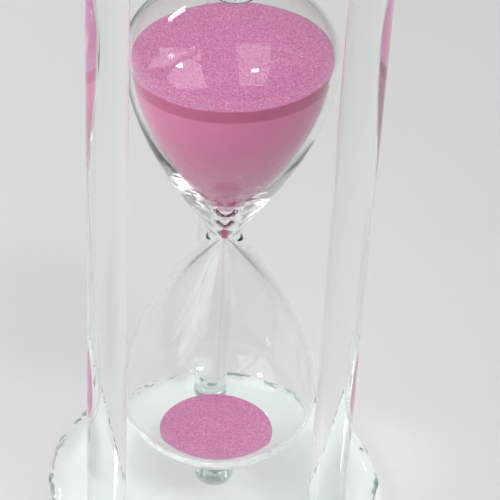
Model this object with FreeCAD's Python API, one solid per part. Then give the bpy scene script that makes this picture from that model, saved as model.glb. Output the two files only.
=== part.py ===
import FreeCAD, Part
import math
import os

# All-glass sand timer: two round glass plates, three solid glass columns, and one blown
# vessel with a pinched neck, carried between the plates on two glass posts. The upper post
# is the longer one: it is the stem that the vessel is filled through before it is sealed.
# Millimetres. +Z up, origin at the centre of the base plate's underside, front is -Y.

# ---- Vessel (measured from the neck's centre outwards, the same above and below) ----
BELLY_DIAMETER = 60.0        # widest outside diameter of each chamber
BELLY_HEIGHT = 61.0          # neck centre to the widest section
DOME_HEIGHT = 19.0           # widest section to the tip of the end dome
NECK_DIAMETER = 9.6          # outside of the pinched neck
BORE_DIAMETER = 1.6          # sand orifice in the neck
WALL = 1.6                   # wall at the belly and the dome
NECK_HANDLE = 5.3            # how far the neck's outside is drawn parallel to the axis
BORE_HANDLE = 7.0            # the same for the bore, so that the thick neck wall thins slowly
CONE_HANDLE_HEIGHT = 33.4    # height of the pull that makes the outside full
CONE_FULLNESS = 0.6          # how far that pull stands outside the belly
HOLLOW_HANDLE_HEIGHT = 29.0  # height of the pull that makes the inside full
BELLY_HANDLE = 3.5           # how far the belly is drawn parallel to the axis
FILLING_HOLE_DIAMETER = 5.0  # opening in each dome, closed by the post's spigot

# ---- End posts ----
POST_DIAMETER = 7.0
LOWER_POST_HEIGHT = 15.8     # lower dome's tip to the adhesive
UPPER_POST_HEIGHT = 30.8     # upper dome's tip to the adhesive
POST_FLARE = 2.2             # how far the foot and the root spread past the shaft
POST_RIM = 0.8               # straight rim of the foot

# ---- Frame ----
PLATE_THICKNESS = 8.0
PLATE_EDGE_RADIUS = 2.5      # melted round of the plate's rim
COLUMN_DIAMETER = 11.8
COLUMN_EDGE = 0.5            # ground chamfer at each column end
COLUMN_GAP = 3.6             # belly to column
PLATE_OVERHANG = 7.1         # column to the plate's rim
COLUMN_BEARINGS = {          # degrees clockwise from the front, seen from above
    "column_front_left": 60.0,
    "column_rear": 180.0,
    "column_front_right": 300.0,
}
ADHESIVE = 0.2               # thickness of the clear bond at every joint

# ---- Sand ----
UPPER_SAND_DROP = 0.5        # free surface below the upper belly
LOWER_SAND_DEPTH = 3.7       # sand over the middle of the lower floor
STREAM_CLEARANCE = 0.4       # falling sand to the bore's wall

# ---- Worked out from the above ----
belly_radius = BELLY_DIAMETER / 2
neck_radius = NECK_DIAMETER / 2
bore_radius = BORE_DIAMETER / 2
inner_radius = belly_radius - WALL
inner_dome = DOME_HEIGHT - WALL
chamber_height = BELLY_HEIGHT + DOME_HEIGHT
column_length = 2 * chamber_height + LOWER_POST_HEIGHT + UPPER_POST_HEIGHT
inner_height = column_length + 2 * ADHESIVE
overall_height = inner_height + 2 * PLATE_THICKNESS
neck_z = PLATE_THICKNESS + ADHESIVE + LOWER_POST_HEIGHT + chamber_height
lower_level = neck_z - BELLY_HEIGHT - inner_dome + LOWER_SAND_DEPTH
column_radius = COLUMN_DIAMETER / 2
column_circle = belly_radius + COLUMN_GAP + column_radius
plate_radius = column_circle + column_radius + PLATE_OVERHANG
post_radius = POST_DIAMETER / 2
spigot_radius = FILLING_HOLE_DIAMETER / 2
BIG = 4 * overall_height     # side of the blocks that cut sand level

Z_AXIS = FreeCAD.Vector(0, 0, 1)
ORIGIN = FreeCAD.Vector(0, 0, 0)


def at(radius, height):
    """A point of a half-section, in the XZ plane."""
    return FreeCAD.Vector(radius, 0, height)


def turned(edges):
    """The solid swept by a closed half-section round the Z axis."""
    face = Part.Face(Part.Wire(edges))
    return face.revolve(ORIGIN, Z_AXIS, 360)


def line(start, end):
    """A straight edge."""
    return Part.LineSegment(start, end).toShape()


def quarter(centre, radius, start):
    """Quarter circle of a half-section, anticlockwise from a start angle in degrees."""
    angles = [math.radians(start + turn) for turn in (0, 45, 90)]
    points = [centre + at(radius * math.cos(a), radius * math.sin(a)) for a in angles]
    return Part.Arc(*points).toShape()


def flipped(shape, height=0.0):
    """The mirror image of a shape in the level plane at a height."""
    return shape.mirror(FreeCAD.Vector(0, 0, height), Z_AXIS)


def raised(shape, height):
    """A copy of a shape, moved up."""
    copy = shape.copy()
    copy.translate(FreeCAD.Vector(0, 0, height))
    return copy


# ---------------------------------------------------------------- vessel
def flank(poles):
    """Smooth curve of one side of a chamber, from the neck's centre to the belly."""
    curve = Part.BezierCurve()
    curve.setPoles(poles)
    return curve.toShape()


def outer_flank():
    """Outside of the chamber's side."""
    return flank([
        at(neck_radius, 0),
        at(neck_radius, NECK_HANDLE),
        at(belly_radius + CONE_FULLNESS, CONE_HANDLE_HEIGHT),
        at(belly_radius, BELLY_HEIGHT - BELLY_HANDLE),
        at(belly_radius, BELLY_HEIGHT),
    ])


def inner_flank():
    """Inside of the chamber's side: thick-walled at the neck, WALL at the belly."""
    return flank([
        at(bore_radius, 0),
        at(bore_radius, BORE_HANDLE),
        at(inner_radius, HOLLOW_HANDLE_HEIGHT),
        at(inner_radius, BELLY_HEIGHT - BELLY_HANDLE),
        at(inner_radius, BELLY_HEIGHT),
    ])


def dome_arc(radius, height, outer_end, inner_end):
    """Part of the ellipse that closes a chamber, between two distances from the axis."""
    turns = [math.acos(min(1.0, end / radius)) for end in (outer_end, inner_end)]
    centre = at(0, BELLY_HEIGHT)
    side = at(radius, BELLY_HEIGHT)
    tip = at(0, BELLY_HEIGHT + height)
    if height > radius:
        turns = [turn - math.pi / 2 for turn in turns]
        arc = Part.ArcOfEllipse(Part.Ellipse(tip, side, centre), *turns)
    else:
        arc = Part.ArcOfEllipse(Part.Ellipse(side, tip, centre), *turns)
    return arc.toBSpline().toShape()


def dome_point(radius, height, distance):
    """The point of that ellipse at a distance from the axis."""
    return at(distance, BELLY_HEIGHT + height * math.sqrt(1 - (distance / radius) ** 2))


def glass_vessel():
    """Both chambers in one piece, joined at the neck, with a hole in each dome."""
    hole = spigot_radius
    half = turned([
        line(at(bore_radius, 0), at(neck_radius, 0)),
        outer_flank(),
        dome_arc(belly_radius, DOME_HEIGHT, belly_radius, hole),
        line(dome_point(belly_radius, DOME_HEIGHT, hole), dome_point(inner_radius, inner_dome, hole)),
        dome_arc(inner_radius, inner_dome, inner_radius, hole),
        inner_flank(),
    ])
    return raised(half.fuse(flipped(half)).removeSplitter(), neck_z)


def chamber_space():
    """The room inside one chamber, from the neck's centre to the dome's tip."""
    return turned([
        line(at(0, 0), at(bore_radius, 0)),
        inner_flank(),
        dome_arc(inner_radius, inner_dome, inner_radius, 0),
        line(at(0, BELLY_HEIGHT + inner_dome), at(0, 0)),
    ])


# ---------------------------------------------------------------- posts
def end_post(height):
    """Post over the upper dome: foot on the plate, flared root and spigot in the dome."""
    foot = chamber_height + height
    root = chamber_height
    wide = post_radius + POST_FLARE
    foot_bend = foot - POST_RIM - POST_FLARE
    root_bend = root + POST_FLARE
    hole = spigot_radius
    return turned([
        line(at(0, foot), at(wide, foot)),
        line(at(wide, foot), at(wide, foot - POST_RIM)),
        quarter(at(wide, foot_bend), POST_FLARE, 90),
        line(at(post_radius, foot_bend), at(post_radius, root_bend)),
        quarter(at(wide, root_bend), POST_FLARE, 180),
        line(at(wide, root), dome_point(belly_radius, DOME_HEIGHT, wide)),
        dome_arc(belly_radius, DOME_HEIGHT, wide, hole),
        line(dome_point(belly_radius, DOME_HEIGHT, hole), dome_point(inner_radius, inner_dome, hole)),
        dome_arc(inner_radius, inner_dome, hole, 0),
        line(at(0, BELLY_HEIGHT + inner_dome), at(0, foot)),
    ])


# ---------------------------------------------------------------- frame
def plate():
    """Round plate with melted edges, resting on z = 0."""
    edge = PLATE_EDGE_RADIUS
    top = PLATE_THICKNESS
    inset = plate_radius - edge
    return turned([
        line(at(0, 0), at(inset, 0)),
        quarter(at(inset, edge), edge, 270),
        line(at(plate_radius, edge), at(plate_radius, top - edge)),
        quarter(at(inset, top - edge), edge, 0),
        line(at(inset, top), at(0, top)),
        line(at(0, top), at(0, 0)),
    ])


def bearing_point(bearing, height):
    """Centre of a column at a height."""
    angle = math.radians(bearing)
    x = -column_circle * math.sin(angle)
    y = -column_circle * math.cos(angle)
    return FreeCAD.Vector(x, y, height)


def column(bearing):
    """Solid glass rod with ground edges."""
    rod = Part.makeCylinder(
        column_radius, column_length, bearing_point(bearing, PLATE_THICKNESS + ADHESIVE))
    ends = [e for e in rod.Edges if isinstance(e.Curve, Part.Circle)]
    return rod.makeChamfer(COLUMN_EDGE, ends)


def column_bonds(height):
    """The three discs of adhesive at one end of the columns."""
    radius = column_radius - COLUMN_EDGE
    discs = [Part.makeCylinder(radius, ADHESIVE, bearing_point(bearing, height))
             for bearing in COLUMN_BEARINGS.values()]
    return Part.makeCompound(discs)


def post_bond(height):
    """The disc of adhesive under one post's foot."""
    return Part.makeCylinder(post_radius + POST_FLARE, ADHESIVE, at(0, height))


# ---------------------------------------------------------------- sand
def below(height):
    """A block that fills everything below a level."""
    return Part.makeBox(BIG, BIG, BIG, FreeCAD.Vector(-BIG / 2, -BIG / 2, height - BIG))


def upper_sand():
    """Sand from the neck's centre up to its free surface."""
    level = BELLY_HEIGHT - UPPER_SAND_DROP
    return raised(chamber_space().common(below(level)), neck_z)


def lower_sand():
    """The pool of sand on the lower dome's floor."""
    space = raised(flipped(chamber_space()), neck_z)
    return space.common(below(lower_level))


def falling_sand():
    """Thin thread of grains from the neck's centre to the lower sand."""
    length = neck_z - lower_level
    return Part.makeCylinder(bore_radius - STREAM_CLEARANCE, length, at(0, lower_level))


# ---------------------------------------------------------------- nodes
top_plate_z = overall_height - PLATE_THICKNESS
upper_bond_z = top_plate_z - ADHESIVE

nodes = {
    "base_plate": plate(),
    "top_plate": raised(plate(), top_plate_z),
    "glass_vessel": glass_vessel(),
    "upper_end_post": raised(end_post(UPPER_POST_HEIGHT), neck_z),
    "lower_end_post": raised(flipped(end_post(LOWER_POST_HEIGHT)), neck_z),
    "lower_column_adhesive": column_bonds(PLATE_THICKNESS),
    "upper_column_adhesive": column_bonds(upper_bond_z),
    "lower_post_adhesive": post_bond(PLATE_THICKNESS),
    "upper_post_adhesive": post_bond(upper_bond_z),
    "upper_sand": upper_sand(),
    "lower_sand": lower_sand(),
    "falling_sand": falling_sand(),
}
for name, bearing in COLUMN_BEARINGS.items():
    nodes[name] = column(bearing)

os.makedirs("parts", exist_ok=True)
for name, shape in nodes.items():
    box = shape.BoundBox
    print(f"{name}: solids {len(shape.Solids)} valid {shape.isValid()} volume {shape.Volume:.1f} "
          f"z {box.ZMin:.2f}..{box.ZMax:.2f}")
    shape.exportStep(f"parts/{name}.step")
print(f"overall height {overall_height:.1f}, plate diameter {2 * plate_radius:.1f}")
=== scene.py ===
"""All-glass sand timer: plates, columns, blown vessel and pink sand, on a pale sweep.

Metres throughout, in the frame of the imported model: +Z up, the origin under the base plate,
-Y to the front. Sizes given in millimetres are turned into metres by MM.
"""

import logging
import math
from dataclasses import dataclass, field
from enum import Enum
from typing import Any, Callable

import bpy
from mathutils import Matrix, Vector, noise


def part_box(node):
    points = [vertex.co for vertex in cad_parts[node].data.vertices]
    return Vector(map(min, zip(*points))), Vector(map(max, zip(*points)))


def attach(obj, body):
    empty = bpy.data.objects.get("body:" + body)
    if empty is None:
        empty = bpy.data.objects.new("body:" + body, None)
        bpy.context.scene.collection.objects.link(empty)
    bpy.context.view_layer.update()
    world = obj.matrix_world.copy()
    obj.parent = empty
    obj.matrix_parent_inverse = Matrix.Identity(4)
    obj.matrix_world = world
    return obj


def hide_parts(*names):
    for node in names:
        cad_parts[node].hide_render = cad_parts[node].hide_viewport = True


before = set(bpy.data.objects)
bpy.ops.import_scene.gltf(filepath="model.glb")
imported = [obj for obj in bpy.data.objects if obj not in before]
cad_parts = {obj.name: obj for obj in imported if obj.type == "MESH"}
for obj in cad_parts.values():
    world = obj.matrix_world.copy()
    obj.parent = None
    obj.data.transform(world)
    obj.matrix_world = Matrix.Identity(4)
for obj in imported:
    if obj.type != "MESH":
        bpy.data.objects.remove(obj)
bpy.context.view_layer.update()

MM = 0.001
ON_AXIS = 1e-9
BODY = "root"
COLUMN_NODES = ("column_front_left", "column_front_right", "column_rear")
COLUMN_FILM_INSET = 0.3 * MM
POST_FILM_RADIUS = 5.6 * MM
log = logging.getLogger("sand_timer")

Profile = list[tuple[float, float]]
Wobble = Callable[[float, float, float], float]
Layers = tuple[tuple[float, float], ...]


# ------------------------------------------------------------------ small tools
def linear(colour: str) -> tuple[float, float, float, float]:
    """Turns an sRGB hex colour into linear RGBA.

    Args:
        colour: Six hex digits, with or without a leading #.

    Returns:
        The linear colour with full alpha.
    """
    digits = colour.lstrip("#")
    shares = [int(digits[i:i + 2], 16) / 255 for i in (0, 2, 4)]
    # The sRGB curve: a straight foot, then a power of 2.4.
    curve = [s / 12.92 if s <= 0.04045 else ((s + 0.055) / 1.055) ** 2.4 for s in shares]
    return (curve[0], curve[1], curve[2], 1.0)


def add_node(tree: bpy.types.NodeTree, kind: str, settings: dict[str, Any] | None = None,
             inputs: dict[str | int, Any] | None = None) -> bpy.types.Node:
    """Adds a node with its settings and its inputs.

    Args:
        tree: The shader or geometry tree.
        kind: The node's Blender type.
        settings: Attributes to set on the node.
        inputs: Input name or index to a value, or to the output socket that feeds it.

    Returns:
        The new node.
    """
    node = tree.nodes.new(kind)
    for name, value in (settings or {}).items():
        setattr(node, name, value)
    for name, value in (inputs or {}).items():
        if isinstance(value, bpy.types.NodeSocket):
            tree.links.new(value, node.inputs[name])
        else:
            node.inputs[name].default_value = value
    return node


def mesh_object(name: str, points: list[Vector], faces: list[list[int]]) -> bpy.types.Object:
    """Makes a smooth-shaded mesh object and puts it in the scene.

    Args:
        name: The piece's name.
        points: Vertex places in metres.
        faces: Vertex indices of each face, anticlockwise from outside.

    Returns:
        The new object.
    """
    mesh = bpy.data.meshes.new(name)
    mesh.from_pydata(points, [], faces)
    mesh.validate()
    mesh.polygons.foreach_set("use_smooth", [True] * len(mesh.polygons))
    mesh.update()
    piece = bpy.data.objects.new(name, mesh)
    bpy.context.scene.collection.objects.link(piece)
    return piece


def revolve(name: str, profile: Profile, segments: int, wobble: Wobble | None = None,
            centre: tuple[float, float] = (0.0, 0.0)) -> bpy.types.Object:
    """Turns an open half-section that starts and ends on the axis, or a closed loop off it.

    Args:
        name: The piece's name.
        profile: (radius, height) pairs in metres, from low to high round the outside.
        segments: Steps round the axis.
        wobble: Extra radius for an angle, a radius and a height.
        centre: Where the axis stands.

    Returns:
        The closed solid of revolution.
    """
    points: list[Vector] = []
    faces: list[list[int]] = []
    rings: list[list[int]] = []
    for radius, height in profile:
        if radius < ON_AXIS:
            rings.append([len(points)])
            points.append(Vector((centre[0], centre[1], height)))
            continue
        ring = []
        for step in range(segments):
            angle = 2 * math.pi * step / segments
            reach = radius + (wobble(angle, radius, height) if wobble else 0.0)
            ring.append(len(points))
            points.append(Vector((centre[0] + reach * math.cos(angle),
                                  centre[1] + reach * math.sin(angle), height)))
        rings.append(ring)
    loop = rings if len(rings[0]) == 1 else rings + rings[:1]
    for low, high in zip(loop, loop[1:]):
        for step in range(segments):
            after = (step + 1) % segments
            if len(low) == 1:
                faces.append([low[0], high[after], high[step]])
            elif len(high) == 1:
                faces.append([low[step], low[after], high[0]])
            else:
                faces.append([low[step], low[after], high[after], high[step]])
    return mesh_object(name, points, faces)


def bezier(poles: Profile, steps: int) -> Profile:
    """Points along a Bezier curve of any degree.

    Args:
        poles: Control points.
        steps: Number of equal steps.

    Returns:
        steps + 1 points.
    """
    degree = len(poles) - 1
    points = []
    for i in range(steps + 1):
        t = i / steps
        weights = [math.comb(degree, k) * (1 - t) ** (degree - k) * t ** k for k in range(degree + 1)]
        points.append((sum(w * p[0] for w, p in zip(weights, poles)),
                       sum(w * p[1] for w, p in zip(weights, poles))))
    return points


def arc(centre: tuple[float, float], radii: tuple[float, float], start: float, end: float,
        steps: int) -> Profile:
    """Points along an arc of an ellipse in the half-section.

    Args:
        centre: (radius, height) of the ellipse's centre.
        radii: Half-widths across and up.
        start: First angle in degrees.
        end: Last angle in degrees.
        steps: Number of equal steps.

    Returns:
        steps + 1 points.
    """
    angles = [math.radians(start + (end - start) * i / steps) for i in range(steps + 1)]
    return [(centre[0] + radii[0] * math.cos(a), centre[1] + radii[1] * math.sin(a))
            for a in angles]


def in_metres(profile: Profile, base: float) -> Profile:
    """A half-section in metres, with its heights counted from a base height."""
    return [(radius * MM, base + height * MM) for radius, height in profile]


def settle(piece: bpy.types.Object, material: bpy.types.Material, slot: str,
           *nodes: str) -> bpy.types.Object:
    """Dresses a piece, hides the nodes it stands for and sets it on the body.

    Args:
        piece: The finished mesh object.
        material: Its material.
        slot: Not used.
        nodes: CAD nodes that it replaces.

    Returns:
        The same piece.
    """
    piece.data.materials.clear()
    piece.data.materials.append(material)
    if nodes:
        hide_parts(*nodes)
    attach(piece, BODY)
    log.info("%s: %d faces", piece.name, len(piece.data.polygons))
    return piece


def join(keeper: bpy.types.Object, *others: bpy.types.Object) -> bpy.types.Object:
    """Puts the meshes of several objects into one.

    Args:
        keeper: The object that stays.
        others: Objects that are merged into it and removed.

    Returns:
        The keeper.
    """
    points = [v.co.copy() for v in keeper.data.vertices]
    faces = [list(f.vertices) for f in keeper.data.polygons]
    for other in others:
        shift = len(points)
        points += [v.co.copy() for v in other.data.vertices]
        faces += [[i + shift for i in f.vertices] for f in other.data.polygons]
        bpy.data.objects.remove(other)
    mesh = bpy.data.meshes.new(keeper.name)
    mesh.from_pydata(points, [], faces)
    mesh.polygons.foreach_set("use_smooth", [True] * len(mesh.polygons))
    mesh.update()
    keeper.data = mesh
    return keeper


# ------------------------------------------------------------------ finishes
@dataclass(frozen=True)
class ClearGlass:
    """Fire-polished glass: a hard, dead smooth skin whose slow swells bend what is behind it.

    Attributes:
        name: Material name.
        ior: Refractive index.
        tint: Colour that the glass takes on with depth.
        density: How fast it takes that colour, per metre.
        swell_mm: Spacing of the slow swells left by the flame.
        swell: Strength of the swells.
        edge_shade: Share of the light held back where it meets the glass edge-on.
    """

    name: str
    ior: float
    tint: str
    density: float
    swell_mm: float
    swell: float
    edge_shade: float = 0.45

    def material(self) -> bpy.types.Material:
        """Builds the node material."""
        made = bpy.data.materials.new(self.name)
        made.use_nodes = True
        tree = made.node_tree
        tree.nodes.clear()
        where = add_node(tree, "ShaderNodeTexCoord").outputs["Object"]
        swells = add_node(tree, "ShaderNodeTexNoise", inputs={
            "Vector": where, "Scale": 1 / (self.swell_mm * MM), "Detail": 1.0, "Roughness": 0.4})
        bump = add_node(tree, "ShaderNodeBump", inputs={
            "Height": swells.outputs["Fac"], "Strength": self.swell, "Distance": 0.3 * MM})
        smear = add_node(tree, "ShaderNodeMapRange", inputs={
            "Value": swells.outputs["Fac"], "To Min": 0.0, "To Max": 0.012})
        cast = add_node(tree, "ShaderNodeMix", {"data_type": "RGBA"}, {
            0: swells.outputs["Fac"], 6: linear("#FFFFFF"), 7: linear("#FAFDFC")})
        glass = add_node(tree, "ShaderNodeBsdfPrincipled", inputs={
            "Base Color": cast.outputs[2], "Roughness": smear.outputs["Result"],
            "IOR": self.ior, "Transmission Weight": 1.0, "Normal": bump.outputs["Normal"]})
        edge = add_node(tree, "ShaderNodeLayerWeight", inputs={"Blend": 0.25})
        shade = add_node(tree, "ShaderNodeMapRange", inputs={
            "Value": edge.outputs["Facing"], "From Min": 0.45, "To Min": 0.995,
            "To Max": 1 - self.edge_shade})
        through = add_node(tree, "ShaderNodeBsdfTransparent", inputs={
            "Color": shade.outputs["Result"]})
        path = add_node(tree, "ShaderNodeLightPath")
        surface = add_node(tree, "ShaderNodeMixShader", inputs={
            0: path.outputs["Is Shadow Ray"], 1: glass.outputs[0], 2: through.outputs[0]})
        depth = add_node(tree, "ShaderNodeVolumeAbsorption", inputs={
            "Color": linear(self.tint), "Density": self.density})
        add_node(tree, "ShaderNodeOutputMaterial", inputs={
            "Surface": surface.outputs[0], "Volume": depth.outputs[0]})
        return made


@dataclass(frozen=True)
class DyedSand:
    """Fine dyed quartz: matt and even from afar, with pale and dark grains and a rare glint.

    Attributes:
        name: Material name.
        body: Mean colour of the grains.
        pale: Colour of the palest grains.
        deep: Colour of the darkest grains.
        side_painted_light: Painted light: deeper, warmer colour of the sand that faces sideways,
            against the glass.
        band: Darkest colour, in the rim of sand that stands in its own shade.
        grain_mm: Spacing of the grains.
        band_top: Height of the free surface that the band hangs from, in metres.
        band_lean: Rise of that surface to the right, as a slope.
        band_from_mm: How far under the surface the band starts to show.
        band_full_mm: How far under it the band is at its darkest.
    """

    name: str
    body: str
    pale: str
    deep: str
    side_painted_light: str
    band: str
    grain_mm: float
    band_top: float
    band_lean: float
    band_from_mm: float = 4.2
    band_full_mm: float = 3.2

    def material(self) -> bpy.types.Material:
        """Builds the node material."""
        made = bpy.data.materials.new(self.name)
        made.use_nodes = True
        tree = made.node_tree
        tree.nodes.clear()
        where = add_node(tree, "ShaderNodeTexCoord").outputs["Object"]
        grains = add_node(tree, "ShaderNodeTexVoronoi", inputs={
            "Vector": where, "Scale": 1 / (self.grain_mm * MM)})
        pick = add_node(tree, "ShaderNodeSeparateColor", inputs={
            "Color": grains.outputs["Color"]})
        ramp = add_node(tree, "ShaderNodeValToRGB", inputs={"Fac": pick.outputs["Red"]})
        stops = ramp.color_ramp.elements
        stops[0].position, stops[0].color = 0.0, linear(self.deep)
        stops[1].position, stops[1].color = 1.0, linear(self.pale)
        middle = stops.new(0.5)
        middle.color = linear(self.body)
        patches = add_node(tree, "ShaderNodeTexNoise", inputs={
            "Vector": where, "Scale": 1 / (6 * MM), "Detail": 3.0})
        lift = add_node(tree, "ShaderNodeMapRange", inputs={
            "Value": patches.outputs["Fac"], "To Min": 0.93, "To Max": 1.07})
        colour = add_node(tree, "ShaderNodeHueSaturation", inputs={
            "Color": ramp.outputs["Color"], "Value": lift.outputs["Result"]})
        # Painted light: sand that faces up takes the grains' colours, painted darker for the light
        # that falls on it; sand that faces sideways takes the side colour, with a band of painted
        # shade just under the upper surface.
        lie = add_node(tree, "ShaderNodeSeparateXYZ", inputs={
            0: add_node(tree, "ShaderNodeNewGeometry").outputs["True Normal"]})
        painted_light_facing = add_node(tree, "ShaderNodeMapRange", inputs={
            "Value": lie.outputs["Z"], "From Min": 0.2, "From Max": 0.8})
        place = add_node(tree, "ShaderNodeSeparateXYZ", inputs={0: where})
        rise = add_node(tree, "ShaderNodeMath", {"operation": "MULTIPLY_ADD"}, {
            0: place.outputs["X"], 1: -self.band_lean, 2: place.outputs["Z"]})
        under = add_node(tree, "ShaderNodeMapRange", {"interpolation_type": "SMOOTHSTEP"}, {
            "Value": rise.outputs[0], "From Min": self.band_top - self.band_from_mm * MM,
            "From Max": self.band_top - self.band_full_mm * MM})
        wall = add_node(tree, "ShaderNodeMix", {"data_type": "RGBA"}, {
            0: under.outputs["Result"], 6: linear(self.side_painted_light), 7: linear(self.band)})
        painted_light_mix = add_node(tree, "ShaderNodeMix", {"data_type": "RGBA"}, {
            0: painted_light_facing.outputs["Result"], 6: wall.outputs[2], 7: colour.outputs["Color"]})
        bump = add_node(tree, "ShaderNodeBump", inputs={
            "Height": grains.outputs["Distance"], "Strength": 0.30,
            "Distance": self.grain_mm * MM})
        glint = add_node(tree, "ShaderNodeMapRange", inputs={
            "Value": pick.outputs["Green"], "From Min": 0.93, "From Max": 1.0,
            "To Min": 0.85, "To Max": 0.25})
        grain = add_node(tree, "ShaderNodeBsdfPrincipled", inputs={
            "Base Color": painted_light_mix.outputs[2], "Roughness": glint.outputs["Result"],
            "Normal": bump.outputs["Normal"]})
        add_node(tree, "ShaderNodeOutputMaterial", inputs={"Surface": grain.outputs[0]})
        return made


@dataclass(frozen=True)
class Sweep:
    """Matt pale board with the faintest mottling, for the floor."""

    name: str
    colour: str

    def material(self) -> bpy.types.Material:
        """Builds the node material."""
        made = bpy.data.materials.new(self.name)
        made.use_nodes = True
        tree = made.node_tree
        tree.nodes.clear()
        where = add_node(tree, "ShaderNodeTexCoord").outputs["Object"]
        mottle = add_node(tree, "ShaderNodeTexNoise", inputs={"Vector": where, "Scale": 9.0})
        shade = add_node(tree, "ShaderNodeMapRange", inputs={
            "Value": mottle.outputs["Fac"], "To Min": 0.99, "To Max": 1.01})
        colour = add_node(tree, "ShaderNodeHueSaturation", inputs={
            "Color": linear(self.colour), "Value": shade.outputs["Result"]})
        board = add_node(tree, "ShaderNodeBsdfPrincipled", inputs={
            "Base Color": colour.outputs["Color"], "Roughness": 0.9})
        add_node(tree, "ShaderNodeOutputMaterial", inputs={"Surface": board.outputs[0]})
        return made


# Thin and nearly colourless: it shows by its edges and by how it bends what is behind it.
VESSEL_GLASS = ClearGlass("borosilicate_glass_blown", 1.47, "#F2FAF7", 4.0, 14.0, 0.05, 0.7)
# Thick rod, so it acts as a lens and holds a trace of green, with long swells down its length.
COLUMN_GLASS = ClearGlass("clear_glass_rod_drawn", 1.50, "#E6F4EE", 5.0, 30.0, 0.06)
# Clear through its faces and green at its rim, where light runs furthest inside it.
PLATE_GLASS = ClearGlass("soda_lime_glass_cast", 1.52, "#B9DCD0", 7.0, 9.0, 0.10, 0.12)
# No colour of its own: a bright line where two glasses meet.
BOND = ClearGlass("clear_adhesive_cured", 1.50, "#F4F8F4", 4.0, 4.0, 0.05)
SAND_LEVEL = 164.5 * MM
SAND_LEAN = 2.5
# Matt, with pale and dark grains. The loose grains' colours are painted darker than the sand's own,
# because
# light reaches them twice: through the glass's pale shadow, and focused by the glass. The sand that
# faces the glass is painted another colour for the light on it, with a band of painted shade just
# under the surface.
PINK_SAND = DyedSand("quartz_sand_dyed_pink", "#B66896", "#CB88B0", "#A0507E", "#E275AA",
                     "#C04C82", 0.30, SAND_LEVEL, math.tan(math.radians(SAND_LEAN)))
# Even and without gloss, so that only soft shade shows on it.
BOARD = Sweep("matt_white_board", "#E4E4E4")


# ------------------------------------------------------------------ vessel
class End(Enum):
    """Which end of the timer a piece belongs to."""

    LOWER = -1
    UPPER = 1


@dataclass
class Vessel:
    """The blown vessel: two teardrop chambers joined at a thick, pinched neck.

    Sizes are in millimetres and measured from the neck's centre outwards. The rings and lobes are
    what the flame leaves in the outer skin, and the neck itself stays true.
    """

    belly_radius: float = 30.0
    belly_height: float = 61.0
    dome_height: float = 19.0
    neck_radius: float = 4.8
    bore_radius: float = 0.8
    wall: float = 1.6
    neck_handle: float = 5.3
    bore_handle: float = 7.0
    cone_handle_height: float = 33.4
    hollow_handle_height: float = 29.0
    cone_fullness: float = 0.6
    belly_handle: float = 3.5
    ring_depth: float = 0.018
    ring_spacing: float = 2.6
    ring_middle: float = 15.0
    ring_spread: float = 12.0
    lobe_depths: tuple[float, float] = (0.12, 0.07)
    lobe_twists: tuple[float, float] = (19.0, 13.0)
    lobe_fade: float = 20.0
    segments: int = 176
    flank_steps: int = 96
    dome_steps: int = 34
    neck_z: float = field(init=False)

    def __post_init__(self) -> None:
        """Reads the neck's height from the frame."""
        low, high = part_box("glass_vessel")
        self.neck_z = (low[2] + high[2]) / 2

    def outer_flank(self) -> Profile:
        """Outside of one chamber from the neck's centre to the belly, in millimetres."""
        return bezier([
            (self.neck_radius, 0.0),
            (self.neck_radius, self.neck_handle),
            (self.belly_radius + self.cone_fullness, self.cone_handle_height),
            (self.belly_radius, self.belly_height - self.belly_handle),
            (self.belly_radius, self.belly_height),
        ], self.flank_steps)

    def inner_flank(self, gap: float = 0.0) -> Profile:
        """Inside of one chamber from the neck to the belly, set in by a gap, in millimetres."""
        hollow = self.belly_radius - self.wall
        wall = bezier([
            (self.bore_radius, 0.0),
            (self.bore_radius, self.bore_handle),
            (hollow, self.hollow_handle_height),
            (hollow, self.belly_height - self.belly_handle),
            (hollow, self.belly_height),
        ], self.flank_steps)
        inside = []
        for i, (radius, height) in enumerate(wall):
            before = wall[max(0, i - 1)]
            after = wall[min(len(wall) - 1, i + 1)]
            run = Vector((after[0] - before[0], after[1] - before[1])).normalized()
            inside.append((radius - run[1] * gap, height + run[0] * gap))
        inside[0] = (self.bore_radius - gap, 0.0)
        inside[-1] = (hollow - gap, self.belly_height)
        return inside

    def outside(self) -> Profile:
        """Outside of one chamber from the neck's centre to the dome's tip."""
        dome = arc((0, self.belly_height), (self.belly_radius, self.dome_height), 0, 90,
                   self.dome_steps)
        return self.outer_flank() + dome[1:]

    def inside(self, gap: float = 0.0) -> Profile:
        """Inside of one chamber from the neck's centre to the dome's tip."""
        depth = self.wall + gap
        dome = arc((0, self.belly_height), (self.belly_radius - depth, self.dome_height - depth),
                   0, 90, self.dome_steps)
        return self.inner_flank(gap) + dome[1:]

    def ripple(self, angle: float, radius: float, height: float) -> float:
        """Rings and lobes that the flame leaves where the neck was drawn down."""
        mm = abs(height - self.neck_z) / MM
        near_neck = math.exp(-((mm - self.ring_middle) / self.ring_spread) ** 2)
        turns = 2 * math.pi * mm / self.ring_spacing
        rings = self.ring_depth * math.sin(turns + 0.8 * math.sin(angle))
        lobes = self.lobe_depths[0] * math.sin(2 * angle + mm / self.lobe_twists[0])
        lobes += self.lobe_depths[1] * math.sin(3 * angle - mm / self.lobe_twists[1])
        fade = min(1.0, mm / self.lobe_fade)
        return (rings * near_neck + lobes * fade) * MM

    def both_ways(self, profile: Profile) -> Profile:
        """A chamber's curve mirrored in the neck: lower tip to upper tip, in metres."""
        upper = in_metres(profile, self.neck_z)
        lower = [(radius, 2 * self.neck_z - height) for radius, height in reversed(upper)]
        return lower[:-1] + upper

    def build(self) -> None:
        """Makes the shell, its outer and inner skins as one closed piece."""
        skin = revolve("glass_vessel_shell", self.both_ways(self.outside()), self.segments,
                       self.ripple)
        lining = revolve("vessel_lining", self.both_ways(self.inside()), self.segments)
        lining.data.flip_normals()
        join(skin, lining)
        settle(skin, VESSEL_GLASS.material(), "vessel_glass", "glass_vessel")


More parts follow.
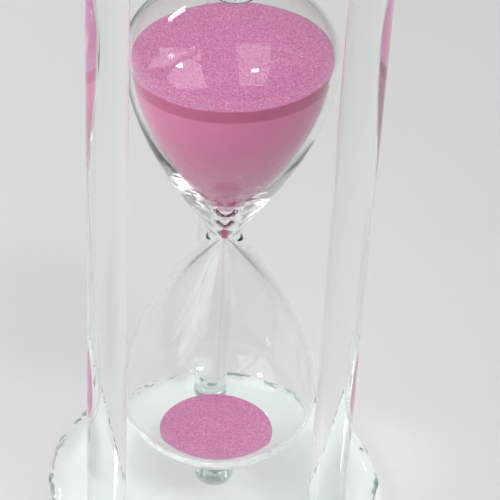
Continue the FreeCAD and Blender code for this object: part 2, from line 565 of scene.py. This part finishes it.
# ------------------------------------------------------------------ frame of the timer
@dataclass
class Plate:
    """A round plate whose rim was chipped and then melted, so it waves in and out.

    Attributes:
        node: CAD node that it stands for.
        seed: Which stretch of the noise its waves are taken from.
        rim_radius: How far in from the edge the rounding starts, in metres.
        rim_powers: Powers that make the rim blunter than a circle, outwards and upwards.
        wave_reach: How far in from the edge the waves start, in metres.
        wave_turn: Radius in the noise of the circle that the waves follow.
        wave_rise: How far the waves differ from the lower face to the upper one.
        wave_inset: How far in the rim stands on the whole, in millimetres.
        waves: Fineness, place in the noise and depth in millimetres of each layer of waves.
        flat: Rings of the flat faces, as shares of the way to the rim.
    """

    node: str
    seed: float
    rim_radius: float = 4.6 * MM
    rim_powers: tuple[float, float] = (0.75, 0.8)
    wave_reach: float = 7 * MM
    wave_turn: float = 5.5
    wave_rise: float = 1.6
    wave_inset: float = 0.4
    waves: tuple[tuple[float, tuple[int, int, int], float], ...] = (
        (1.0, (0, 0, 0), 1.1), (2.7, (7, 3, 1), 0.75), (6.1, (2, 9, 4), 0.3))
    flat: tuple[float, ...] = (0.0, 0.3, 0.6, 0.8, 0.88, 0.93, 0.96, 0.985)
    rim_steps: int = 28
    segments: int = 420
    low: Vector = field(init=False)
    high: Vector = field(init=False)

    def __post_init__(self) -> None:
        """Reads the plate's box from the frame."""
        self.low, self.high = (Vector(corner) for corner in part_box(self.node))

    def profile(self, low: float, high: float, radius: float) -> Profile:
        """Half-section from the axis under the plate to the axis over it."""
        inset = radius - self.rim_radius
        thick = high - low
        under = [(share * inset, low) for share in self.flat]
        over = [(share * inset, high) for share in reversed(self.flat)]
        rim = []
        for i in range(self.rim_steps + 1):
            turn = math.pi * (i / self.rim_steps - 0.5)
            bulge = abs(math.cos(turn)) ** self.rim_powers[0]
            rise = math.copysign(abs(math.sin(turn)) ** self.rim_powers[1], turn)
            rim.append((inset + self.rim_radius * bulge, low + thick * (0.5 + 0.5 * rise)))
        return under + rim + over

    def wave(self, angle: float, radius: float, height: float) -> float:
        """How far the rim stands out or in at a place."""
        low, high = self.low, self.high
        reach = (radius - (high[0] - self.wave_reach)) / self.wave_reach
        if reach <= 0:
            return 0.0
        share = min(1.0, reach) ** 2
        level = (height - low[2]) / (high[2] - low[2])
        place = Vector((self.wave_turn * math.cos(angle), self.wave_turn * math.sin(angle),
                        self.wave_rise * level + self.seed))
        stand = sum(noise.noise(place * fineness + Vector(offset)) * depth
                    for fineness, offset, depth in self.waves)
        return (stand - self.wave_inset) * share * MM

    def build(self) -> None:
        """Makes the plate."""
        profile = self.profile(self.low[2], self.high[2], self.high[0])
        piece = revolve(f"{self.node}_glass", profile, self.segments, self.wave)
        settle(piece, PLATE_GLASS.material(), "plate_glass", self.node)


@dataclass
class Column:
    """A solid glass rod, drawn by hand, so that it swells and bends a little.

    Attributes:
        node: CAD node that it stands for.
        phase: Where in its swells it starts, in radians.
        swell: Change of girth along it, in millimetres.
        swell_turn: Radians of swell from foot to head.
        oval: How far from round it is, in millimetres.
        oval_turn: Radians that the oval turns from foot to head.
        bow: How far its middle stands off the straight, in millimetres.
        edge: Width of the ground edge at each end, in metres.
    """

    node: str
    phase: float
    swell: float = 0.12
    swell_turn: float = 5.3
    oval: float = 0.06
    oval_turn: float = 4.0
    bow: float = 0.25
    edge: float = 0.5 * MM
    segments: int = 96
    steps: int = 90
    low: tuple[float, float, float] = field(init=False)
    high: tuple[float, float, float] = field(init=False)

    def __post_init__(self) -> None:
        """Reads the rod's box from the frame."""
        self.low, self.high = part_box(self.node)

    @property
    def centre(self) -> tuple[float, float]:
        """Where its axis stands."""
        return (self.low[0] + self.high[0]) / 2, (self.low[1] + self.high[1]) / 2

    @property
    def radius(self) -> float:
        """Its radius in metres."""
        return (self.high[0] - self.low[0]) / 2

    def wobble(self, angle: float, at_radius: float, height: float) -> float:
        """Slow change of girth and a slight bow, none at the ends."""
        share = (height - self.low[2]) / (self.high[2] - self.low[2])
        ends = math.sin(math.pi * min(1.0, max(0.0, share)))
        girth = self.swell * math.sin(self.swell_turn * share + self.phase)
        oval = self.oval * math.sin(2 * angle + self.oval_turn * share + self.phase)
        bend = self.bow * math.cos(angle - self.phase)
        return (girth + oval + bend) * ends * at_radius / self.radius * MM

    def build(self) -> None:
        """Makes the rod with ground edges at both ends."""
        bottom, top, radius = self.low[2], self.high[2], self.radius
        length = top - bottom
        profile = [(0.0, bottom), (radius - self.edge, bottom)]
        profile += [(radius, bottom + self.edge + (length - 2 * self.edge) * i / self.steps)
                    for i in range(self.steps + 1)]
        profile += [(radius - self.edge, top), (0.0, top)]
        piece = revolve(f"{self.node}_rod", profile, self.segments, self.wobble, self.centre)
        settle(piece, COLUMN_GLASS.material(), "column_glass", self.node)


@dataclass
class EndPost:
    """Short post between a dome and a plate, fused to one and bonded to the other.

    Sizes are in millimetres.
    """

    end: End
    vessel: Vessel
    radius: float = 3.5
    flare: float = 2.2
    rim: float = 0.8
    sink: float = 0.4
    foot_edge: float = 0.15
    dome_steps: int = 8
    fillet_steps: int = 12
    segments: int = 72

    def build(self) -> None:
        """Makes the post, its root sunk a little into the dome so that the glass reads as one."""
        node = f"{self.end.name.lower()}_end_post"
        low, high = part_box(node)
        tip = self.vessel.belly_height + self.vessel.dome_height
        foot = (high[2] - self.vessel.neck_z) / MM
        if self.end is End.LOWER:
            foot = (self.vessel.neck_z - low[2]) / MM
        wide = self.radius + self.flare
        foot_bend = foot - self.rim - self.flare
        root_bend = tip + self.flare
        dome = arc((0, self.vessel.belly_height),
                   (self.vessel.belly_radius - self.sink, self.vessel.dome_height - self.sink),
                   90, 90 - math.degrees(math.asin(wide / self.vessel.belly_radius)),
                   self.dome_steps)
        fillet = (self.flare, self.flare)
        section = dome + arc((wide, root_bend), fillet, 270, 180, self.fillet_steps)
        section += arc((wide, foot_bend), fillet, 180, 90, self.fillet_steps)
        section += [(wide, foot - self.foot_edge), (wide - self.foot_edge, foot), (0.0, foot)]
        profile = in_metres(section, self.vessel.neck_z)
        if self.end is End.LOWER:
            profile = [(r, 2 * self.vessel.neck_z - z) for r, z in reversed(profile)]
        piece = revolve(f"{node}_glass", profile, self.segments)
        settle(piece, VESSEL_GLASS.material(), "vessel_glass", node)


@dataclass
class Bonds:
    """Films of clear adhesive, squeezed out into a thin bead round what they hold."""

    node: str
    places: list[tuple[float, float]]
    radius: float
    bead: float = 0.35 * MM
    overlap: float = 0.04 * MM
    bead_steps: int = 8
    segments: int = 64

    def build(self) -> None:
        """Makes the films of one end as one piece."""
        low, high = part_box(self.node)
        bottom, top = low[2] - self.overlap, high[2] + self.overlap
        films = []
        for i, place in enumerate(self.places):
            edge = arc((self.radius, (bottom + top) / 2), (self.bead, (top - bottom) / 2),
                       -90, 90, self.bead_steps)
            profile = [(0.0, bottom)] + edge + [(0.0, top)]
            films.append(revolve(f"{self.node}_film_{i}", profile, self.segments, centre=place))
        piece = films[0] if len(films) == 1 else join(films[0], *films[1:])
        piece.name = f"{self.node}_film"
        settle(piece, BOND.material(), "clear_adhesive", self.node)


# ------------------------------------------------------------------ sand
@dataclass(frozen=True)
class LooseGrains:
    """Separate grains set out by Geometry Nodes, on a free surface or down a thread.

    Attributes:
        radius_mm: Radius of a middling grain.
        density: Grains per square metre of free surface.
        seed: Seed of every random draw.
    """

    radius_mm: float = 0.13
    density: float = 1.7e6
    seed: int = 11

    def group(self, name: str) -> tuple[bpy.types.GeometryNodeTree, bpy.types.Node, bpy.types.Node]:
        """Starts a tree with its named inputs.

        Args:
            name: The tree's name.

        Returns:
            The tree, its input node and its output node.
        """
        tree = bpy.data.node_groups.new(name, "GeometryNodeTree")
        face = tree.interface
        face.new_socket("Geometry", in_out="INPUT", socket_type="NodeSocketGeometry")
        face.new_socket("Grain Radius", in_out="INPUT", socket_type="NodeSocketFloat")
        face.new_socket("Density", in_out="INPUT", socket_type="NodeSocketFloat")
        face.new_socket("Seed", in_out="INPUT", socket_type="NodeSocketInt")
        face.new_socket("Geometry", in_out="OUTPUT", socket_type="NodeSocketGeometry")
        return tree, add_node(tree, "NodeGroupInput"), add_node(tree, "NodeGroupOutput")

    def placed(self, tree: bpy.types.GeometryNodeTree, given: bpy.types.Node,
               points: bpy.types.NodeSocket, finish: bpy.types.Material) -> bpy.types.Node:
        """Puts a turned, resized grain on each point.

        Args:
            tree: The tree to add to.
            given: The tree's input node.
            points: Socket with the points.
            finish: The grains' material.

        Returns:
            The last node, whose output is the finished grains.
        """
        grain = add_node(tree, "GeometryNodeMeshIcoSphere", inputs={
            "Radius": given.outputs["Grain Radius"], "Subdivisions": 1})
        turn = add_node(tree, "FunctionNodeRandomValue", {"data_type": "FLOAT_VECTOR"}, {
            0: (0, 0, 0), 1: (math.tau,) * 3, "Seed": given.outputs["Seed"]})
        size = add_node(tree, "FunctionNodeRandomValue", {"data_type": "FLOAT"}, {
            2: 0.6, 3: 1.4, "Seed": given.outputs["Seed"]})
        spread = add_node(tree, "GeometryNodeInstanceOnPoints", inputs={
            "Points": points, "Instance": grain.outputs["Mesh"],
            "Rotation": turn.outputs[0], "Scale": size.outputs[1]})
        real = add_node(tree, "GeometryNodeRealizeInstances", inputs={
            0: spread.outputs["Instances"]})
        return add_node(tree, "GeometryNodeSetMaterial", inputs={
            "Geometry": real.outputs[0], "Material": finish})

    def bake(self, piece: bpy.types.Object, tree: bpy.types.GeometryNodeTree) -> None:
        """Runs the tree on a piece once and keeps the result as plain mesh."""
        modifier = piece.modifiers.new("grains", "NODES")
        modifier.node_group = tree
        values = {"Grain Radius": self.radius_mm * MM, "Density": self.density,
                  "Seed": self.seed}
        for item in tree.interface.items_tree:
            if item.in_out == "INPUT" and item.name in values:
                modifier[item.identifier] = values[item.name]
        graph = bpy.context.evaluated_depsgraph_get()
        mesh = bpy.data.meshes.new_from_object(piece.evaluated_get(graph))
        piece.modifiers.clear()
        piece.data = mesh

    def over(self, piece: bpy.types.Object, finish: bpy.types.Material) -> None:
        """Strews grains over the points of a piece that are marked free."""
        tree, given, result = self.group(f"{piece.name}_grains")
        free = add_node(tree, "GeometryNodeInputNamedAttribute", {"data_type": "BOOLEAN"}, {
            "Name": "free"})
        points = add_node(tree, "GeometryNodeDistributePointsOnFaces", inputs={
            "Mesh": given.outputs["Geometry"], "Selection": free.outputs["Attribute"],
            "Density": given.outputs["Density"], "Seed": given.outputs["Seed"]})
        grains = self.placed(tree, given, points.outputs["Points"], finish)
        both = add_node(tree, "GeometryNodeJoinGeometry")
        tree.links.new(given.outputs["Geometry"], both.inputs[0])
        tree.links.new(grains.outputs[0], both.inputs[0])
        tree.links.new(both.outputs[0], result.inputs[0])
        self.bake(piece, tree)

    def falling(self, name: str, top: float, bottom: float, count: int, spread_mm: float,
                finish: bpy.types.Material) -> bpy.types.Object:
        """Makes a thread of grains falling down the axis.

        Args:
            name: The piece's name.
            top: Height that they fall from, in metres.
            bottom: Height that they land at, in metres.
            count: Number of grains.
            spread_mm: How far they stray from the axis.
            finish: Their material.

        Returns:
            The thread as one mesh.
        """
        tree, given, result = self.group(f"{name}_grains")
        line = add_node(tree, "GeometryNodeMeshLine", inputs={
            "Count": count, "Start Location": (0, 0, top),
            "Offset": (0, 0, (bottom - top) / (count - 1))})
        stray = add_node(tree, "FunctionNodeRandomValue", {"data_type": "FLOAT_VECTOR"}, {
            0: (-spread_mm * MM,) * 3, 1: (spread_mm * MM,) * 3, "Seed": given.outputs["Seed"]})
        points = add_node(tree, "GeometryNodeSetPosition", inputs={
            "Geometry": line.outputs["Mesh"], "Offset": stray.outputs[0]})
        grains = self.placed(tree, given, points.outputs["Geometry"], finish)
        tree.links.new(grains.outputs[0], result.inputs[0])
        piece = mesh_object(name, [Vector((0, 0, top))], [])
        self.bake(piece, tree)
        return piece


def mark_free(piece: bpy.types.Object, free: Callable[[bpy.types.MeshVertex], bool]) -> None:
    """Marks the points of a piece that lie on a free surface."""
    marks = piece.data.attributes.new("free", "BOOLEAN", "POINT")
    marks.data.foreach_set("value", [free(v) for v in piece.data.vertices])


def relief(place: Vector, layers: Layers) -> float:
    """Height of uneven sand at a place, from the depth and spacing of each layer, in millimetres."""
    return sum(depth * noise.noise(place / spacing) for depth, spacing in layers)


def disc_faces(start: int, rings: int, segments: int, upwards: bool) -> list[list[int]]:
    """Faces of a disc whose points run outwards from its middle, ring by ring.

    Args:
        start: Index of the middle point.
        rings: Number of rings round it.
        segments: Points in each ring.
        upwards: Whether the disc looks up.

    Returns:
        Triangles round the middle, then quads.
    """
    faces = []
    for ring in range(rings):
        for step in range(segments):
            pair = (step, (step + 1) % segments)
            outer = [start + 1 + ring * segments + k for k in pair]
            if ring == 0:
                face = [start, outer[0], outer[1]]
            else:
                inner = [start + 1 + (ring - 1) * segments + k for k in pair]
                face = [inner[0], outer[0], outer[1], inner[1]]
            faces.append(face if upwards else face[::-1])
    return faces


@dataclass
class Sand:
    """The sand: the mass over the neck, the pool on the floor and the thread between.

    Sizes are in millimetres and leans in degrees.

    Attributes:
        vessel: The vessel that holds it.
        gap: Room left between the sand and the glass.
        upper_level: Height of the upper surface over the neck.
        upper_lean: Rise of the upper surface to the right.
        shoulder: How far under that surface the sand leaves the curve of the glass.
        loose_depth: How deep the upper surface is disturbed.
        upper_relief: Depth and spacing of each layer of its unevenness.
        dish: Depth and radius of the dish drawn down over the neck.
        grain_depth: How far down from the upper level loose grains are strewn.
        grain_gap: How far from the glass they stay.
        pool_depth: Depth of the pool in its middle.
        pool_lean: Rise of the pool's surface to the front.
        pool_relief: Depth and spacing of each layer of its unevenness.
        pit: Depth and radius of the pit under the thread.
        ridge: Height, radius and width of the ridge round the pit.
        pool_reach: How far from the axis grains are strewn on the pool.
        thread_grain: Radius of a grain in the thread.
        thread_count: Number of grains in it.
        thread_stray: How far they stray from the axis.
        thread_ends: Room over the first grain and under the last.
    """

    vessel: Vessel
    gap: float = 0.08
    upper_level: float = 60.5
    upper_lean: float = SAND_LEAN
    shoulder: float = 2.2
    shoulder_steps: int = 8
    loose_depth: float = 2.0
    upper_relief: Layers = ((0.22, 7.0), (0.10, 2.2))
    dish: tuple[float, float] = (0.9, 9.0)
    grain_depth: float = 1.9
    grain_gap: float = 0.7
    pool_depth: float = 3.7
    pool_lean: float = 4.5
    pool_relief: Layers = ((0.10, 5.0), (0.05, 1.6))
    pit: tuple[float, float] = (0.35, 1.1)
    ridge: tuple[float, float, float] = (0.25, 2.4, 1.2)
    pool_reach: float = 15.6
    thread_grain: float = 0.10
    thread_count: int = 150
    thread_stray: float = 0.16
    thread_ends: tuple[float, float] = (0.5, 0.3)
    segments: int = 160
    rings: int = 44

    def cap(self, radius: float, level: float) -> Profile:
        """The free surface before it is disturbed, from the wall to the middle."""
        return [(radius * (1 - i / self.rings), level) for i in range(1, self.rings + 1)]

    def upper(self) -> bpy.types.Object:
        """The sand over the neck, its surface a little uneven and lower on the left."""
        wall = [p for p in self.vessel.inside(self.gap) if p[1] < self.upper_level - self.shoulder]
        rim_radius = self.vessel.belly_radius - self.vessel.wall - self.gap
        start = wall[-1]
        for i in range(1, self.shoulder_steps + 1):
            share = i / self.shoulder_steps
            wall.append((start[0] + (rim_radius - start[0]) * share,
                         start[1] + (self.upper_level - start[1]) * share))
        section = [(0.0, wall[0][1])] + wall + self.cap(rim_radius, self.upper_level)
        piece = revolve("upper_sand_mass", in_metres(section, self.vessel.neck_z),
                        self.segments)
        top = self.vessel.neck_z + (self.upper_level - self.loose_depth) * MM
        slope = math.tan(math.radians(self.upper_lean))
        for v in piece.data.vertices:
            if v.co.z > top:
                share = (v.co.z - top) / (self.loose_depth * MM)
                place = Vector((v.co.x, v.co.y, 0)) / MM
                dip = -self.dish[0] * math.exp(-(place.length / self.dish[1]) ** 2)
                # Half as uneven at the glass as in the middle.
                calm = 1 - 0.5 * (place.length / rim_radius) ** 6
                uneven = (relief(place, self.upper_relief) + dip) * MM * calm
                v.co.z += share * (v.co.x * slope + uneven)
        piece.data.update()
        return piece

    def lower(self) -> bpy.types.Object:
        """The pool on the lower dome, higher at the front, with a shallow pit in the middle."""
        vessel = self.vessel
        across = vessel.belly_radius - vessel.wall - self.gap
        deep = vessel.dome_height - vessel.wall - self.gap
        floor_z = vessel.neck_z - (vessel.belly_height + deep) * MM
        level = floor_z + self.pool_depth * MM
        slope = math.tan(math.radians(self.pool_lean))

        def floor_at(x: float, y: float) -> float:
            """Height of the dome's inside under a place."""
            share = min(0.999, math.hypot(x, y) / (across * MM))
            return vessel.neck_z - (vessel.belly_height + deep * math.sqrt(1 - share ** 2)) * MM

        def surface_at(x: float, y: float) -> float:
            """Height of the leaning surface over a place."""
            return level - y * slope

        def uneven_at(x: float, y: float) -> float:
            """How far the grains stand over the leaning surface, in millimetres."""
            place = Vector((x, y, 0)) / MM
            pit = -self.pit[0] * math.exp(-(place.length / self.pit[1]) ** 2)
            off = (place.length - self.ridge[1]) / self.ridge[2]
            return relief(place, self.pool_relief) + pit + self.ridge[0] * math.exp(-off ** 2)

        def shore(angle: float) -> float:
            """Distance from the axis at which the surface meets the floor."""
            low, high = 0.0, across * MM
            halvings = 40
            for _ in range(halvings):
                middle = (low + high) / 2
                x, y = middle * math.cos(angle), middle * math.sin(angle)
                low, high = (middle, high) if surface_at(x, y) > floor_at(x, y) else (low, middle)
            return (low + high) / 2

        angles = [2 * math.pi * s / self.segments for s in range(self.segments)]
        spokes = [(shore(a), math.cos(a), math.sin(a)) for a in angles]
        under = [Vector((0, 0, floor_z))]
        over = [Vector((0, 0, level))]
        for ring in range(1, self.rings + 1):
            share = ring / self.rings
            for reach, along, aside in spokes:
                x, y = reach * share * along, reach * share * aside
                under.append(Vector((x, y, floor_at(x, y))))
                # The unevenness dies away at the shore, where the two surfaces meet.
                over.append(Vector((x, y, surface_at(x, y)
                                    + uneven_at(x, y) * MM * (1 - share ** 8))))
        count = len(under)
        faces = disc_faces(0, self.rings, self.segments, False)
        faces += disc_faces(count, self.rings, self.segments, True)
        last = count - self.segments
        for s in range(self.segments):
            after = (s + 1) % self.segments
            faces.append([last + s, last + after, count + last + after, count + last + s])
        return mesh_object("lower_sand_pool", under + over, faces)

    def build(self) -> None:
        """Makes and dresses all three."""
        finish = PINK_SAND.material()
        vessel, grains = self.vessel, LooseGrains()
        upper, lower = self.upper(), self.lower()
        shore = (vessel.belly_radius - vessel.wall - self.grain_gap) * MM
        beach = vessel.neck_z + (self.upper_level - self.grain_depth) * MM
        mark_free(upper, lambda v: v.co.z > beach and v.co.xy.length < shore)
        surface = len(lower.data.vertices) // 2
        mark_free(lower, lambda v: v.index >= surface and v.co.xy.length < self.pool_reach * MM)
        for piece in (upper, lower):
            piece.data.materials.append(finish)
            grains.over(piece, finish)
        low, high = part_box("falling_sand")
        thread = LooseGrains(radius_mm=self.thread_grain).falling(
            "falling_sand_grains", high[2] - self.thread_ends[0] * MM,
            low[2] + self.thread_ends[1] * MM, self.thread_count, self.thread_stray, finish)
        settle(upper, finish, "pink_sand", "upper_sand")
        settle(lower, finish, "pink_sand", "lower_sand")
        settle(thread, finish, "pink_sand", "falling_sand")


# ------------------------------------------------------------------ studio
@dataclass
class Studio:
    """Pale board, soft light and the camera, which stands a little left of the front.

    Attributes:
        bearing: Degrees that the camera stands to the left of the front.
        pitch: Degrees that it looks down.
        roll: Degrees that it is turned about its own line of sight.
        distance: Camera to the neck, in metres.
        lens: Focal length in millimetres.
        sensor: Width of the camera's frame in millimetres.
        aim_right: How far right of the neck the camera aims, in metres.
        aim_down: How far under the neck it aims, in metres.
        glow: Strength of the even light from all round.
        light_run: Direction that the lights' long sides follow, as nearly as facing the neck allows.
        bounces: Most bounces, set high because each total reflection inside thick glass is one.
        clear_bounces: Most passes through clear surfaces.
    """

    neck_z: float
    bearing: float = 4.8
    pitch: float = 37.1
    roll: float = 3.1
    distance: float = 0.602
    lens: float = 148.6
    sensor: float = 36.0
    aim_right: float = 0.0074
    aim_down: float = 0.0055
    glow: float = 0.41
    light_run: tuple[float, float, float] = (0.0, 0.79, 0.61)
    bounces: int = 28
    clear_bounces: int = 24

    def camera(self) -> None:
        """Places the camera."""
        turn = Matrix.Rotation(-math.radians(self.bearing), 3, "Z")
        tilt = math.radians(self.pitch)
        ahead = turn @ Vector((0, math.cos(tilt), -math.sin(tilt)))
        level = turn @ Vector((1, 0, 0))
        upright = level.cross(ahead)
        roll = math.radians(self.roll)
        right = level * math.cos(roll) + upright * math.sin(roll)
        up = upright * math.cos(roll) - level * math.sin(roll)
        data = bpy.data.cameras.new("camera")
        data.lens = self.lens
        data.sensor_width = self.sensor
        data.clip_start = 0.01
        camera = bpy.data.objects.new("camera", data)
        place = Vector((0, 0, self.neck_z)) - ahead * self.distance
        place += right * self.aim_right - up * self.aim_down
        pose = Matrix((right, up, -ahead)).transposed().to_4x4()
        pose.translation = place
        camera.matrix_world = pose
        bpy.context.scene.collection.objects.link(camera)
        bpy.context.scene.camera = camera

    def floor(self) -> None:
        """Lays the board under the timer."""
        half = 3.0
        drop = 0.0002
        corners = [Vector((x * half, y * half, -drop)) for x, y in
                   ((-1, -1), (1, -1), (1, 1), (-1, 1))]
        board = mesh_object("board", corners, [[0, 1, 2, 3]])
        board.data.materials.append(BOARD.material())

    def softbox(self, name: str, towards: tuple[float, float, float], distance: float,
                size: tuple[float, float], power: float) -> None:
        """Hangs one light, facing the neck, its long side running back over the timer.

        Args:
            name: The light's name.
            towards: Direction from the neck to the light.
            distance: How far away it hangs, in metres.
            size: Its width and length in metres.
            power: Its power in watts.
        """
        data = bpy.data.lights.new(name, "AREA")
        data.shape = "RECTANGLE"
        data.size, data.size_y = size
        data.energy = power
        back = Vector(towards).normalized()
        across = Vector(self.light_run).cross(back).normalized()
        pose = Matrix((across, back.cross(across), back)).transposed().to_4x4()
        pose.translation = Vector((0, 0, self.neck_z)) + back * distance
        light = bpy.data.objects.new(name, data)
        light.matrix_world = pose
        bpy.context.scene.collection.objects.link(light)

    def surroundings(self) -> None:
        """Fills the room with soft light, the same from all round.

        The strength comes from a node that reads the direction, though it is the same in all of
        them. A plain constant is sampled another way and lightens the shadows under the glass.
        """
        world = bpy.data.worlds.new("studio")
        bpy.context.scene.world = world
        world.use_nodes = True
        tree = world.node_tree
        tree.nodes.clear()
        where = add_node(tree, "ShaderNodeTexCoord").outputs["Generated"]
        up = add_node(tree, "ShaderNodeSeparateXYZ", inputs={0: where})
        even = add_node(tree, "ShaderNodeMapRange", inputs={
            "Value": up.outputs["Z"], "To Min": self.glow, "To Max": self.glow})
        light = add_node(tree, "ShaderNodeBackground", inputs={
            "Color": linear("#FFFFFF"), "Strength": even.outputs["Result"]})
        add_node(tree, "ShaderNodeOutputWorld", inputs={"Surface": light.outputs[0]})

    def build(self) -> None:
        """Sets the whole studio."""
        self.camera()
        self.floor()
        self.softbox("left_softbox", (-0.75, -0.34, 0.57), 1.2, (0.92, 1.36), 6.0)
        self.softbox("right_softbox", (0.28, -0.43, 0.86), 1.2, (0.56, 1.36), 2.9)
        self.softbox("left_lamp", (-0.73, -0.22, 0.65), 1.1, (0.12, 0.12), 1.5)
        self.softbox("right_lamp", (0.29, -0.47, 0.83), 1.1, (0.12, 0.12), 1.1)
        self.softbox("strip", (-0.41, 0.67, 0.62), 1.2, (0.05, 0.26), 1.5)
        self.surroundings()
        scene = bpy.context.scene
        scene.view_settings.view_transform = "Standard"
        scene.cycles.max_bounces = self.bounces
        scene.cycles.transmission_bounces = self.bounces
        scene.cycles.glossy_bounces = self.bounces
        scene.cycles.transparent_max_bounces = self.clear_bounces


def main() -> None:
    """Builds the studio and the timer."""
    logging.basicConfig(level=logging.INFO, format="%(message)s")
    vessel = Vessel()
    Studio(vessel.neck_z).build()
    vessel.build()
    for end in End:
        EndPost(end, vessel).build()
    Plate("base_plate", seed=0.0).build()
    Plate("top_plate", seed=4.7).build()
    columns = [Column(node, phase=1.3 + 2.1 * i) for i, node in enumerate(COLUMN_NODES)]
    for column in columns:
        column.build()
    feet = [column.centre for column in columns]
    for end in End:
        side = end.name.lower()
        Bonds(f"{side}_column_adhesive", feet, columns[-1].radius - COLUMN_FILM_INSET).build()
        Bonds(f"{side}_post_adhesive", [(0.0, 0.0)], POST_FILM_RADIUS).build()
    Sand(vessel).build()


if __name__ == "__main__":
    main()
